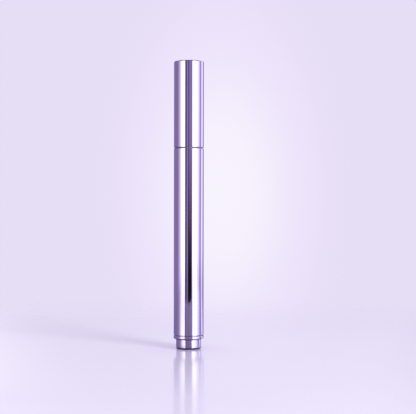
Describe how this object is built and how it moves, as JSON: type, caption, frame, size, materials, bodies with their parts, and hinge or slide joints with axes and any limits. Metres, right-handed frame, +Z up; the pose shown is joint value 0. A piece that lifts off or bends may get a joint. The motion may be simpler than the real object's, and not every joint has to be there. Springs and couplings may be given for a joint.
{
  "type": "cuticle pen",
  "caption": "Slim upright cuticle pen with a pull-off cap, a soft slanted applicator tip and a push button at its base that feeds the product by a ratchet and screw.",
  "frame": {"origin": "middle of the button's flat face, on which the closed pen stands", "axes": "+Z up along the pen's axis, from the button to the cap; the tip's slanted face looks towards -Y"},
  "size_m": [0.013, 0.013, 0.124],
  "materials": {
    "lilac_metal": "polished lilac metallised",
    "white_plastic": "satin white",
    "acetal": "natural acetal",
    "milky_plastic": "translucent milky",
    "pink_silicone": "soft, slightly translucent",
    "black_rubber": "moulded",
    "steel": "drawn",
    "brass": "turned"
  },
  "bodies": {
    "pen_body": {"barrel_shell": "lilac_metal", "end_ring": "lilac_metal", "mechanism_housing": "white_plastic", "stop_pawl_ring": "white_plastic", "rod_guide": "acetal", "reservoir_tube": "milky_plastic", "neck": "white_plastic", "neck_o_ring": "black_rubber", "tip_collar": "milky_plastic", "applicator_tip": "pink_silicone", "feed_tube": "steel", "return_spring": "steel"},
    "cap": {"cap_shell": "lilac_metal", "cap_liner": "white_plastic", "cap_seal": "black_rubber"},
    "button": {"button_shell": "lilac_metal", "button_core": "white_plastic"},
    "drive": {"drive_sleeve": "acetal", "drive_pawl_ring": "white_plastic"},
    "ratchet": {"ratchet_driver": "acetal", "drive_nut": "brass"},
    "piston": {"piston": "white_plastic", "piston_ring": "black_rubber", "screw_rod": "steel"}
  },
  "joints": [
    {"name": "cap_pull", "type": "slide", "parent": "pen_body", "child": "cap", "axis": [0, 0, 1], "range_m": [0, 0.04]},
    {"name": "button_press", "type": "slide", "parent": "pen_body", "child": "button", "axis": [0, 0, 1], "range_m": [0, 0.002], "stiffness_N_per_m": 72, "springref_m": -0.007, "deforming": ["return_spring"]},
    {"name": "drive_turn", "type": "hinge", "parent": "pen_body", "child": "drive", "pos_m": [0, 0, 0.026], "axis": [0, 0, -1], "range_deg": [0, 30], "deforming": ["drive_pawl_ring"]},
    {"name": "screw_turn", "type": "hinge", "parent": "pen_body", "child": "ratchet", "pos_m": [0, 0, 0.035], "axis": [0, 0, -1], "range_deg": [0, 7200], "deforming": ["stop_pawl_ring"]},
    {"name": "piston_travel", "type": "slide", "parent": "pen_body", "child": "piston", "axis": [0, 0, 1], "range_m": [0, 0.028]}
  ],
  "couplings": [
    {"joint": "drive_turn", "follows": "button_press", "rad_per_m": 261.8},
    {"joint": "screw_turn", "follows": "piston_travel", "rad_per_m": 4488}
  ]
}
